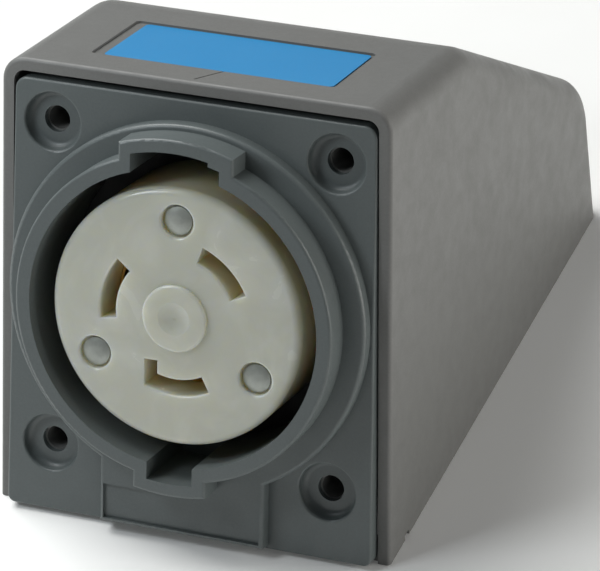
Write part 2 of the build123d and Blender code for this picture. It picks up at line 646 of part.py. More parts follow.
def make_mounting_bridge():
    bridge = rod(BRIDGE_RADIUS, BRIDGE_REAR, FACE_REAR)
    for x, y in bridge_screw_places():
        bridge += Pos(x, y, 0) * rod(BRIDGE_EAR_RADIUS, BRIDGE_REAR, FACE_REAR)
    bridge -= rod(BRIDGE_BORE_RADIUS, BRIDGE_REAR - 1, FACE_REAR + 1)
    for x, y in bridge_screw_places():
        bridge -= Pos(x, y, 0) * rod(BRIDGE_SCREW_HOLE_RADIUS, BRIDGE_REAR - 1, FACE_REAR + 1)
    return bridge


def make_bridge_screws():
    head = rod(BRIDGE_HEAD_RADIUS, BRIDGE_REAR - BRIDGE_HEAD_HEIGHT, BRIDGE_REAR)
    head = fillet(head.faces().sort_by(Axis.Z)[0].edges(), BRIDGE_HEAD_HEIGHT * 0.5)
    slot = box_between((-BRIDGE_HEAD_RADIUS, -SCREW_SLOT_WIDTH / 2, BRIDGE_REAR - BRIDGE_HEAD_HEIGHT - 1),
                       (BRIDGE_HEAD_RADIUS, SCREW_SLOT_WIDTH / 2, BRIDGE_REAR - BRIDGE_HEAD_HEIGHT / 2))
    screw = head - slot + rod(BRIDGE_SCREW_RADIUS, BRIDGE_REAR, FACE_REAR + BRIDGE_SCREW_REACH)
    return [Pos(x, y, 0) * screw for x, y in bridge_screw_places()]


# ---- Build ----
def save(name, shape):
    """Writes one node; a list becomes one node of separate solids."""
    if isinstance(shape, list):
        shape = Compound(children=shape)
    export_step(shape, f"parts/{name}.step")


def place(shape):
    """Moves a shape, or each shape of a list, from the cover frame to the row frame."""
    if isinstance(shape, list):
        return [COVER_PLANE.location * piece for piece in shape]
    return COVER_PLANE.location * shape


def main():
    os.makedirs("parts", exist_ok=True)
    save("housing", make_housing())
    save("rating_label", make_rating_label())
    save("cover_plate", place(make_cover_plate()))
    save("receptacle_face", place(make_receptacle_face()))
    save("seating_ring", place(make_seating_ring()))
    save("flange_gasket", place(make_flange_gasket()))
    save("contact_carrier", place(make_contact_carrier()))
    save("rear_body", place(make_rear_body()))
    save("assembly_rivets", place(make_assembly_rivets()))
    save("mounting_bridge", place(make_mounting_bridge()))
    save("bridge_screws", place(make_bridge_screws()))
    for name in SLOTS:
        save(f"contact_{name}", place(make_contact(name)))
        save(f"terminal_screw_{name}", place(make_terminal_screw(name)))
        save(f"clamp_plate_{name}", place(make_clamp_plate(name)))


main()
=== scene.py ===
"""Looks of an angled surface outlet box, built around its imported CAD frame.

The box is a grey wedge-shaped shell whose leaning front holds a cover plate with a keyed shroud ring and a
white locking receptacle. Lengths are in metres in the row frame: +Z leaves the mounting face, -Y points to
the front. The cover frame has x across, y up the plate and z out of its front, from the receptacle's axis.
"""
import json
import logging
import math
from dataclasses import dataclass
from enum import Enum
from typing import Any

import bpy
from mathutils import Matrix, Vector


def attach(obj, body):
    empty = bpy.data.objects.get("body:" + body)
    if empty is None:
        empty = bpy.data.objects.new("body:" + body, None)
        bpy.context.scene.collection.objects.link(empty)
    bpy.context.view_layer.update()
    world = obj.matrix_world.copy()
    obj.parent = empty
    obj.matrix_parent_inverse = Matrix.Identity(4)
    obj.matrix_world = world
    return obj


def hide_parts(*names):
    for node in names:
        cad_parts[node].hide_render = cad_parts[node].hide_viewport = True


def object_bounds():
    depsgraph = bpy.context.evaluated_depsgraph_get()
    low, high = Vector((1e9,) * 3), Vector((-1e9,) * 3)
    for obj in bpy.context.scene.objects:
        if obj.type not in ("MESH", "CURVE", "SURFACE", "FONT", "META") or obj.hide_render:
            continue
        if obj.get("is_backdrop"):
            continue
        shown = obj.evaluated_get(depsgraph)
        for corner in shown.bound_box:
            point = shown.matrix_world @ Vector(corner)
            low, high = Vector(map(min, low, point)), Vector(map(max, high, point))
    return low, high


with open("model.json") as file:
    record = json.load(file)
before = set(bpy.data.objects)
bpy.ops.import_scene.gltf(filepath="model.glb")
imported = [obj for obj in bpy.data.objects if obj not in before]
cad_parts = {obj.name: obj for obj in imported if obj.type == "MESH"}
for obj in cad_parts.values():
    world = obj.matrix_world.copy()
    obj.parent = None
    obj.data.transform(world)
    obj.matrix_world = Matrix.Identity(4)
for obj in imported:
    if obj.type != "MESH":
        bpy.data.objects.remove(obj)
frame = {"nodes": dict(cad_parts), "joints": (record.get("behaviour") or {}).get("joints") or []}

LOG = logging.getLogger("outlet_box")
MM = 0.001
NODES: dict[str, bpy.types.Object] = frame["nodes"]
JOINTS: dict[str, dict[str, Any]] = {joint["name"]: joint for joint in frame["joints"]}
SHARP_ANGLE = math.radians(32)


class Line(Enum):
    """The three poles of the receptacle, by the ending of their nodes' names."""

    LINE_X = "line_x"
    LINE_Y = "line_y"
    GROUND = "ground"


class Drive(Enum):
    """What a driver turns a screw head by."""

    SLOT = 0
    CROSS = 1


# ---- Nodes and colour ----
def linear(hex_code: str) -> tuple[float, float, float, float]:
    """Turns an sRGB hex colour to the linear values that shaders take.

    Args:
        hex_code: six hex digits, such as "7f7f7c".

    Returns:
        Linear red, green and blue, and an alpha of 1.
    """
    parts = (int(hex_code[i : i + 2], 16) / 255 for i in (0, 2, 4))
    red, green, blue = (p / 12.92 if p <= 0.04045 else ((p + 0.055) / 1.055) ** 2.4 for p in parts)
    return red, green, blue, 1.0


def add_node(
    tree: bpy.types.NodeTree, kind: str, inputs: dict[Any, Any] | None = None, **settings: Any
) -> bpy.types.Node:
    """Adds a node to a tree, with its settings and what goes into it.

    Args:
        tree: the shader or geometry tree.
        kind: the node's type name.
        inputs: values or output sockets, by the input's name or number.
        **settings: the node's own properties.

    Returns:
        The new node.
    """
    node = tree.nodes.new(kind)
    for key, value in settings.items():
        setattr(node, key, value)
    for key, value in (inputs or {}).items():
        if isinstance(value, bpy.types.NodeSocket):
            tree.links.new(value, node.inputs[key])
        else:
            node.inputs[key].default_value = value
    return node


def maths(tree: bpy.types.NodeTree, operation: str, *values: Any) -> bpy.types.NodeSocket:
    """Result of one arithmetic step on values or sockets."""
    inputs = dict(enumerate(values))
    return add_node(tree, "ShaderNodeMath", inputs, operation=operation).outputs[0]


def noise(
    tree: bpy.types.NodeTree, place: bpy.types.NodeSocket, size: float, detail: float = 2.0
) -> bpy.types.NodeSocket:
    """Noise whose blotches are about size metres across."""
    inputs = {"Vector": place, "Scale": 1 / size, "Detail": detail, "Roughness": 0.55}
    return add_node(tree, "ShaderNodeTexNoise", inputs).outputs["Fac"]


def spread(
    tree: bpy.types.NodeTree, value: bpy.types.NodeSocket, low: float, high: float,
    source: tuple[float, float] = (0.3, 0.7),
) -> bpy.types.NodeSocket:
    """A value carried from the source range to low..high, and held there."""
    inputs = {0: value, 1: source[0], 2: source[1], 3: low, 4: high}
    return add_node(tree, "ShaderNodeMapRange", inputs).outputs[0]


def blend_colours(
    tree: bpy.types.NodeTree, factor: Any, first: Any, second: Any
) -> bpy.types.NodeSocket:
    """Mixes two colours or colour sockets by a factor."""
    mix = add_node(tree, "ShaderNodeMix", {0: factor, 6: first, 7: second}, data_type="RGBA")
    return mix.outputs[2]


@dataclass(frozen=True)
class Finish:
    """What every finish has: a name, a main colour, and a shader with a few constants."""

    name: str
    colour: str
    roughness: float
    ior: float = 1.5

    def start(self) -> tuple[bpy.types.Material, bpy.types.NodeTree, bpy.types.Node, Any]:
        """Makes an empty material with its shader.

        Returns:
            The material, its tree, the shader node and the Object coordinates socket.
        """
        material = bpy.data.materials.new(self.name)
        material.use_nodes = True
        tree = material.node_tree
        tree.nodes.clear()
        inputs = {"Base Color": linear(self.colour), "Roughness": self.roughness, "IOR": self.ior}
        shader = add_node(tree, "ShaderNodeBsdfPrincipled", inputs)
        add_node(tree, "ShaderNodeOutputMaterial", {"Surface": shader.outputs[0]})
        place = add_node(tree, "ShaderNodeTexCoord").outputs["Object"]
        return material, tree, shader, place

    def build(self) -> bpy.types.Material:
        """Makes the material."""
        raise NotImplementedError


@dataclass(frozen=True)
class MouldedPolyester(Finish):
    """Glass-filled thermoplastic, moulded in a lightly textured tool.

    The eye sees a dull, even grey with faint flow clouds, and a fine pebble that breaks up the highlights.
    """

    ior: float = 1.53
    cloud_colour: str = "808080"
    cloud_size: float = 26 * MM
    pebble_size: float = 0.45 * MM      # real tool texture is about 0.2 mm, drawn coarser so that it shows
    pebble_height: float = 0.012 * MM
    roughness_spread: float = 0.08
    # painted shade: how much the pebble's pits are darkened, and with what colour
    pit_shade_share: float = 0.10
    pit_shade_colour: str = "101212"

    def build(self) -> bpy.types.Material:
        """Makes the material.

        Returns:
            The finished material.
        """
        material, tree, shader, place = self.start()
        clouds = spread(tree, noise(tree, place, self.cloud_size, 4.0), 0.0, 1.0)
        colour = blend_colours(tree, clouds, linear(self.colour), linear(self.cloud_colour))
        pebble = noise(tree, place, self.pebble_size, 3.0)
        # painted shade: darker where the pebble's height is low, in its pits
        pit_shade = maths(tree, "MULTIPLY", spread(tree, pebble, 1.0, 0.0), self.pit_shade_share)
        colour = blend_colours(tree, pit_shade, colour, linear(self.pit_shade_colour))
        rough = spread(tree, noise(tree, place, self.cloud_size / 6, 3.0),
                       self.roughness - self.roughness_spread, self.roughness + self.roughness_spread)
        bump = add_node(tree, "ShaderNodeBump",
                        {"Height": pebble, "Strength": 0.6, "Distance": self.pebble_height * 2})
        tree.links.new(colour, shader.inputs["Base Color"])
        tree.links.new(rough, shader.inputs["Roughness"])
        tree.links.new(bump.outputs[0], shader.inputs["Normal"])
        return material


@dataclass(frozen=True)
class WhiteNylon(Finish):
    """Natural white nylon, moulded and polished.

    Light passes a few millimetres into it, so its face is creamy white; deeper faces have a painted glow.
    """

    ior: float = 1.53
    marble_colour: str = "dfe0d8"
    # painted glow: warm cream for faces deep behind the front, standing in for light scattered in the well
    painted_glow_colour: str = "f6ecc4"
    front: Vector = Vector((0, 0, 0))
    outward: Vector = Vector((0, -1, 0))
    # depths behind the front where the painted glow starts and where it is full
    glow_fade_start: float = 0.7 * MM
    glow_fade_depth: float = 8 * MM
    scatter: float = 7 * MM
    scatter_shares: tuple[float, float, float] = (1.0, 0.85, 0.5)   # red goes deepest, blue least
    marble_size: float = 14 * MM
    ripple_size: float = 1.6 * MM       # sink ripples are about 1 to 2 mm across
    ripple_height: float = 0.02 * MM

    def build(self) -> bpy.types.Material:
        """Makes the material.

        Returns:
            The finished material.
        """
        material, tree, shader, place = self.start()
        along = add_node(tree, "ShaderNodeVectorMath", {0: place, 1: self.outward},
                         operation="DOT_PRODUCT").outputs["Value"]
        depth = maths(tree, "SUBTRACT", self.front.dot(self.outward), along)
        # painted glow: share of the warm glow colour, growing with depth behind the front
        painted_glow_share = spread(tree, depth, 0.0, 1.0, (self.glow_fade_start, self.glow_fade_depth))
        warp = add_node(tree, "ShaderNodeTexNoise",
                        {"Vector": place, "Scale": 1 / self.marble_size, "Detail": 5.0,
                         "Distortion": 1.4}).outputs["Fac"]
        marble = spread(tree, warp, 0.0, 0.55, (0.45, 0.75))
        colour = blend_colours(tree, marble, linear(self.colour), linear(self.marble_colour))
        colour = blend_colours(tree, painted_glow_share, colour, linear(self.painted_glow_colour))
        ripple = noise(tree, place, self.ripple_size, 2.0)
        bump = add_node(tree, "ShaderNodeBump",
                        {"Height": ripple, "Strength": 0.5, "Distance": self.ripple_height * 2})
        shader.inputs["Subsurface Weight"].default_value = 1.0
        shader.inputs["Subsurface Radius"].default_value = self.scatter_shares
        shader.inputs["Subsurface Scale"].default_value = self.scatter
        tree.links.new(colour, shader.inputs["Base Color"])
        tree.links.new(spread(tree, warp, self.roughness - 0.05, self.roughness + 0.08),
                       shader.inputs["Roughness"])
        tree.links.new(bump.outputs[0], shader.inputs["Normal"])
        return material


@dataclass(frozen=True)
class PrintedFilm(Finish):
    """Polyester label film, printed one colour on its back.

    The print is even with a faint dot grain, and the film's face is smooth and a little glossy.
    """

    ior: float = 1.58
    thin_ink: str = "48a2d8"
    thick_ink: str = "1f7db8"
    grain_size: float = 0.5 * MM        # the print's dots are about 0.2 mm, drawn coarser so that they show
    wave_size: float = 9 * MM
    wave_height: float = 0.1 * MM
    gloss: float = 0.12
    gloss_roughness: float = 0.22

    def build(self) -> bpy.types.Material:
        """Makes the material.

        Returns:
            The finished material.
        """
        material, tree, shader, place = self.start()
        grain = spread(tree, noise(tree, place, self.grain_size, 2.0), 0.0, 0.10)
        clouds = spread(tree, noise(tree, place, self.wave_size, 3.0), 0.0, 0.12)
        colour = blend_colours(tree, clouds, linear(self.colour), linear(self.thin_ink))
        colour = blend_colours(tree, grain, colour, linear(self.thick_ink))
        bump = add_node(tree, "ShaderNodeBump",
                        {"Height": noise(tree, place, self.wave_size, 1.0), "Strength": 0.3,
                         "Distance": self.wave_height})
        shader.inputs["Coat Weight"].default_value = self.gloss
        shader.inputs["Coat Roughness"].default_value = self.gloss_roughness
        tree.links.new(colour, shader.inputs["Base Color"])
        tree.links.new(bump.outputs[0], shader.inputs["Normal"])
        return material


@dataclass(frozen=True)
class WorkedMetal(Finish):
    """A plated, dyed or bare metal, stamped, turned or headed.

    Fine tool marks stretch the highlights, and handling leaves duller patches.
    """

    tarnish: str = "6a6a66"
    tarnish_share: float = 0.35
    mark_size: float = 0.5 * MM         # tool marks are about 0.1 mm, drawn coarser so that they show
    mark_height: float = 0.012 * MM
    patch_size: float = 3 * MM
    metallic: float = 1.0

    def build(self) -> bpy.types.Material:
        """Makes the material.

        Returns:
            The finished material.
        """
        material, tree, shader, place = self.start()
        patches = spread(tree, noise(tree, place, self.patch_size, 4.0), 0.0, self.tarnish_share)
        colour = blend_colours(tree, patches, linear(self.colour), linear(self.tarnish))
        marks = noise(tree, place, self.mark_size, 3.0)
        bump = add_node(tree, "ShaderNodeBump",
                        {"Height": marks, "Strength": 0.6, "Distance": self.mark_height * 2})
        shader.inputs["Metallic"].default_value = self.metallic
        tree.links.new(colour, shader.inputs["Base Color"])
        tree.links.new(spread(tree, marks, self.roughness - 0.08, self.roughness + 0.1),
                       shader.inputs["Roughness"])
        tree.links.new(bump.outputs[0], shader.inputs["Normal"])
        return material


@dataclass(frozen=True)
class MouldedRubber(Finish):
    """Black rubber, moulded. It is dull, with a faint bloom and no clear highlight."""

    ior: float = 1.52
    bloom: str = "3a3a38"
    bloom_size: float = 4 * MM
    grain_size: float = 0.6 * MM
    grain_height: float = 0.03 * MM

    def build(self) -> bpy.types.Material:
        """Makes the material.

        Returns:
            The finished material.
        """
        material, tree, shader, place = self.start()
        bloom = spread(tree, noise(tree, place, self.bloom_size, 4.0), 0.0, 0.5)
        colour = blend_colours(tree, bloom, linear(self.colour), linear(self.bloom))
        bump = add_node(tree, "ShaderNodeBump",
                        {"Height": noise(tree, place, self.grain_size, 2.0), "Strength": 0.5,
                         "Distance": self.grain_height})
        tree.links.new(colour, shader.inputs["Base Color"])
        tree.links.new(bump.outputs[0], shader.inputs["Normal"])
        return material


@dataclass(frozen=True)
class MattPaper(Finish):
    """Seamless studio paper on a light table: pale, dull and almost even, with a faint glow from below."""

    shade: str = "f8f8f6"
    cloud_size: float = 60 * MM
    glow: float = 0.06

    def build(self) -> bpy.types.Material:
        """Makes the material.

        Returns:
            The finished material.
        """
        material, tree, shader, place = self.start()
        colour = blend_colours(tree, spread(tree, noise(tree, place, self.cloud_size, 3.0), 0.0, 1.0),
                               linear(self.colour), linear(self.shade))
        tree.links.new(colour, shader.inputs["Base Color"])
        shader.inputs["Emission Color"].default_value = linear(self.shade)
        shader.inputs["Emission Strength"].default_value = self.glow
        return material


# ---- Frame of the cover ----
@dataclass(frozen=True)
class CoverFrame:
    """Where the receptacle's axis meets the plate's front, and which way the plate faces."""

    origin: Vector
    outward: Vector

    @classmethod
    def from_joints(cls, axis_depth: float = 35 * MM) -> "CoverFrame":
        """Reads the frame from the CAD joints.

        Args:
            axis_depth: how far the terminal screws' axes cross behind the plate's front.

        Returns:
            The cover frame at rest.
        """
        outward = Vector(JOINTS["cover_lift"]["axis"]).normalized()
        crossing = Vector(JOINTS["ground_screw_turn"]["pos_m"])
        return cls(crossing + outward * axis_depth, outward)

    @property
    def matrix(self) -> Matrix:
        """Turns and moves the cover frame to the row frame."""
        return placed(self.origin, self.outward, Vector((1, 0, 0)))

    def at(self, x: float, y: float, z: float) -> Vector:
        """A point of the cover frame, in the row frame."""
        return self.matrix @ Vector((x, y, z))


def placed(origin: Vector, z_axis: Vector, x_axis: Vector) -> Matrix:
    """Matrix of a frame with this origin and z axis, and its x axis as near x_axis as can be.

    Args:
        origin: the frame's origin.
        z_axis: the direction of its z axis, of any length.
        x_axis: the direction that its x axis keeps near to.

    Returns:
        The matrix from the frame to the row frame.
    """
    z_axis = z_axis.normalized()
    x_axis = (x_axis - z_axis * x_axis.dot(z_axis)).normalized()
    turn = Matrix((x_axis, z_axis.cross(x_axis), z_axis)).transposed().to_4x4()
    return Matrix.Translation(origin) @ turn


def dress(node: str, material: bpy.types.Material) -> None:
    """Gives a CAD node its material.

    Args:
        node: the node's name.
        material: its finish.
    """
    mesh = NODES[node].data
    mesh.materials.clear()
    mesh.materials.append(material)
    LOG.info("dressed %s in %s", node, material.name)


# ---- Geometry Nodes: headed fasteners ----
@dataclass(frozen=True)
class SizeInput:
    """One named input of a geometry tree."""

    name: str
    value: Any
    kind: str = "NodeSocketFloat"


class FastenerTree:
    """A geometry tree that heads a fastener and sets copies of it on a circle.

    The fastener stands on z = 0, with its domed head above and its shank below.
    """

    RING_FACETS = 40
    DOME_RINGS = 7
    DOME_POWER = 2.4
    WAVE_SCALE = 900.0              # the head's top is uneven over about 1 mm
    SIDES_PER_PITCH = 6
    SLOT_MARGIN = 1.3

    def __init__(self, name: str, sizes: list[SizeInput]) -> None:
        """Starts the tree with its named inputs.

        Args:
            name: the tree's name.
            sizes: its inputs, with the values that the modifier gives them.
        """
        self.tree = bpy.data.node_groups.new(name, "GeometryNodeTree")
        self.sockets = {}
        self.values = {size.name: size.value for size in sizes}
        for size in sizes:
            self.sockets[size.name] = self.tree.interface.new_socket(
                size.name, in_out="INPUT", socket_type=size.kind)
        self.tree.interface.new_socket("Geometry", in_out="OUTPUT", socket_type="NodeSocketGeometry")
        self.group_in = self.tree.nodes.new("NodeGroupInput")

    def size(self, name: str) -> bpy.types.NodeSocket:
        """The named input's socket inside the tree."""
        return self.group_in.outputs[name]

    def node(self, kind: str, inputs: dict[Any, Any] | None = None, **settings: Any) -> bpy.types.Node:
        """Adds one node to the tree."""
        return add_node(self.tree, kind, inputs, **settings)

    def radius_field(self) -> bpy.types.NodeSocket:
        """Distance of each point from the fastener's axis.

        Returns:
            The distance, as a field.
        """
        spot = self.node("GeometryNodeInputPosition").outputs[0]
        flat = self.node("ShaderNodeVectorMath", {0: spot, 1: (1, 1, 0)}, operation="MULTIPLY").outputs[0]
        return self.node("ShaderNodeVectorMath", {0: flat}, operation="LENGTH").outputs["Value"]

    def moved(self, geometry: Any, height: Any, turn: tuple[float, float, float] = (0, 0, 0)) -> Any:
        """Geometry turned, and moved along z.

        Args:
            geometry: the geometry socket.
            height: how far to move it.
            turn: rotation about x, y and z, before the move.

        Returns:
            The moved geometry.
        """
        shift = self.node("ShaderNodeCombineXYZ", {2: height}).outputs[0]
        inputs = {"Geometry": geometry, "Translation": shift, "Rotation": turn}
        return self.node("GeometryNodeTransform", inputs).outputs[0]

    def domed_head(self, radius: Any, edge: Any, dome: Any, waviness: float) -> Any:
        """A round head with a straight edge and a domed, slightly uneven top.

        Args:
            radius: the head's radius.
            edge: the height of its straight edge.
            dome: how far the dome rises above the edge.
            waviness: how uneven the dome is.

        Returns:
            The head's geometry.
        """
        half = maths(self.tree, "MULTIPLY", edge, 0.5)
        disc = self.node("GeometryNodeMeshCylinder",
                         {"Vertices": self.RING_FACETS, "Side Segments": 1, "Radius": radius,
                          "Fill Segments": self.DOME_RINGS, "Depth": edge})
        share = maths(self.tree, "DIVIDE", self.radius_field(), radius)
        fall = maths(self.tree, "SUBTRACT", 1.0, maths(self.tree, "POWER", share, self.DOME_POWER))
        spot = self.node("GeometryNodeInputPosition").outputs[0]
        wave = self.node("ShaderNodeTexNoise",
                         {"Vector": spot, "Scale": self.WAVE_SCALE, "Detail": 1.0}).outputs[0]
        lift = maths(self.tree, "ADD", dome, maths(self.tree, "MULTIPLY", wave, waviness))
        offset = self.node("ShaderNodeCombineXYZ", {2: maths(self.tree, "MULTIPLY", fall, lift)}).outputs[0]
        head = self.node("GeometryNodeSetPosition",
                         {"Geometry": disc.outputs["Mesh"], "Selection": disc.outputs["Top"],
                          "Offset": offset}).outputs[0]
        return self.moved(head, half)

    def plain_shank(self, radius: Any, length: Any) -> Any:
        """A smooth shank that hangs below z = 0.

        Args:
            radius: the shank's radius.
            length: its length.

        Returns:
            The shank's geometry.
        """
        rod = self.node("GeometryNodeMeshCylinder",
                        {"Vertices": self.RING_FACETS, "Radius": radius, "Depth": length})
        return self.moved(rod.outputs["Mesh"], maths(self.tree, "MULTIPLY", length, -0.5))

    def threaded_shank(self, radius: Any, length: Any, pitch: Any, depth: Any) -> Any:
        """A shank that hangs below z = 0, with a helical thread cut into it.

        Args:
            radius: the thread's outer radius.
            length: the shank's length.
            pitch: the thread's pitch.
            depth: the groove's depth.

        Returns:
            The shank's geometry.
        """
        turns = maths(self.tree, "DIVIDE", length, pitch)
        rows = maths(self.tree, "MULTIPLY", turns, self.SIDES_PER_PITCH)
        rod = self.node("GeometryNodeMeshCylinder",
                        {"Vertices": self.RING_FACETS // 2, "Side Segments": rows, "Radius": radius,
                         "Depth": length})
        spot = self.node("GeometryNodeInputPosition").outputs[0]
        split = self.node("ShaderNodeSeparateXYZ", {0: spot}).outputs
        angle = maths(self.tree, "DIVIDE", maths(self.tree, "ARCTAN2", split[1], split[0]), math.tau)
        phase = maths(self.tree, "SUBTRACT", maths(self.tree, "DIVIDE", split[2], pitch), angle)
        groove = maths(self.tree, "PINGPONG", phase, 0.5)
        inward = maths(self.tree, "MULTIPLY", maths(self.tree, "MULTIPLY", groove, -2.0), depth)
        outward = self.node("ShaderNodeVectorMath",
                            {0: self.node("ShaderNodeCombineXYZ", {0: split[0], 1: split[1]}).outputs[0]},
                            operation="NORMALIZE").outputs[0]
        offset = self.node("ShaderNodeVectorMath", {0: outward, "Scale": inward},
                           operation="SCALE").outputs[0]
        cut = self.node("GeometryNodeSetPosition",
                        {"Geometry": rod.outputs["Mesh"], "Selection": rod.outputs["Side"],
                         "Offset": offset}).outputs[0]
        return self.moved(cut, maths(self.tree, "MULTIPLY", length, -0.5))

    def slotted(self, head: Any, drive: Drive, radius: Any, width: Any, depth: Any, top: Any) -> Any:
        """Cuts a driver slot, or a cross, into a head.

        Args:
            head: the head's geometry.
            drive: the shape that the driver fits.
            radius: the head's radius.
            width: the slot's width.
            depth: the slot's depth below top.
            top: the height of the head's top.

        Returns:
            The cut head.
        """
        reach = self.SLOT_MARGIN * 2 if drive is Drive.SLOT else self.SLOT_MARGIN
        long = maths(self.tree, "MULTIPLY", radius, reach)
        tall = maths(self.tree, "MULTIPLY", depth, 2.0)
        size = self.node("ShaderNodeCombineXYZ", {0: long, 1: width, 2: tall}).outputs[0]
        bar = self.moved(self.node("GeometryNodeMeshCube", {"Size": size}).outputs["Mesh"], top)
        cutters = [bar]
        if drive is Drive.CROSS:
            cutters.append(self.moved(bar, 0.0, (0, 0, math.pi / 2)))
        for cutter in cutters:
            head = self.node("GeometryNodeMeshBoolean", {"Mesh 1": head, "Mesh 2": cutter},
                             operation="DIFFERENCE").outputs["Mesh"]
        return head

    def on_circle(self, fastener: Any, count: Any, circle: Any, first: Any) -> Any:
        """Copies of a fastener at even angles round a circle.

        Args:
            fastener: the fastener's geometry.
            count: how many copies.
            circle: the circle's radius.
            first: the first copy's angle.

        Returns:
            The copies, as instances.
        """
        index = self.node("GeometryNodeInputIndex").outputs[0]
        step = maths(self.tree, "DIVIDE", math.tau, count)
        angle = maths(self.tree, "ADD", maths(self.tree, "MULTIPLY", index, step), first)
        spot = self.node("ShaderNodeCombineXYZ", {
            0: maths(self.tree, "MULTIPLY", maths(self.tree, "COSINE", angle), circle),
            1: maths(self.tree, "MULTIPLY", maths(self.tree, "SINE", angle), circle)}).outputs[0]
        points = self.node("GeometryNodePoints", {"Count": count, "Position": spot}).outputs[0]
        return self.node("GeometryNodeInstanceOnPoints",
                         {"Points": points, "Instance": fastener}).outputs[0]

    def joined(self, *parts: Any) -> Any:
        """Several geometries as one.

        Args:
            *parts: the geometry sockets.

        Returns:
            The joined geometry.
        """
        join = self.node("GeometryNodeJoinGeometry")
        for part in parts:
            self.tree.links.new(part, join.inputs[0])
        return join.outputs[0]

    def made(self, geometry: Any, name: str, material: bpy.types.Material, place: Matrix) -> bpy.types.Object:
        """Ends the tree and turns its result to a plain mesh in the row frame.

        Args:
            geometry: the tree's last geometry socket.
            name: the new piece's name.
            material: the finish that the tree sets.
            place: from the fastener's frame to the row frame.

        Returns:
            The piece, with no modifier, at the origin.
        """
        real = self.node("GeometryNodeRealizeInstances", {0: geometry}).outputs[0]
        done = self.node("GeometryNodeSetMaterial", {"Geometry": real, "Material": material}).outputs[0]
        self.node("NodeGroupOutput", {0: done})
        carrier = bpy.data.objects.new(name + "_carrier", bpy.data.meshes.new(name + "_carrier"))
        bpy.context.scene.collection.objects.link(carrier)
        modifier = carrier.modifiers.new("Fastener", "NODES")
        modifier.node_group = self.tree
        for label, value in self.values.items():
            modifier[self.sockets[label].identifier] = value
        evaluated = carrier.evaluated_get(bpy.context.evaluated_depsgraph_get())
        mesh = bpy.data.meshes.new_from_object(evaluated)
        mesh.name = name
        carrier.modifiers.remove(modifier)
        bpy.data.objects.remove(carrier)
        mesh.transform(place)
        mesh.shade_smooth()
        mesh.set_sharp_from_angle(angle=SHARP_ANGLE)
        mesh.materials.clear()
        mesh.materials.append(material)
        piece = bpy.data.objects.new(name, mesh)
        bpy.context.scene.collection.objects.link(piece)
        LOG.info("made %s: %d faces", name, len(mesh.polygons))
        return piece


# ---- Sub-assemblies ----
@dataclass
class SurfaceBox:
    """The wedge-shaped housing and the label in its top."""

    shell: Finish
    label: Finish

    def dress(self) -> None:
        """Gives the housing and its label their finishes."""
        dress("housing", self.shell.build())
        dress("rating_label", self.label.build())


@dataclass
class CoverPlate:
    """The leaning plate with its shroud ring."""

    plate: Finish

    def dress(self) -> None:
        """Gives the plate its finish."""
        dress("cover_plate", self.plate.build())


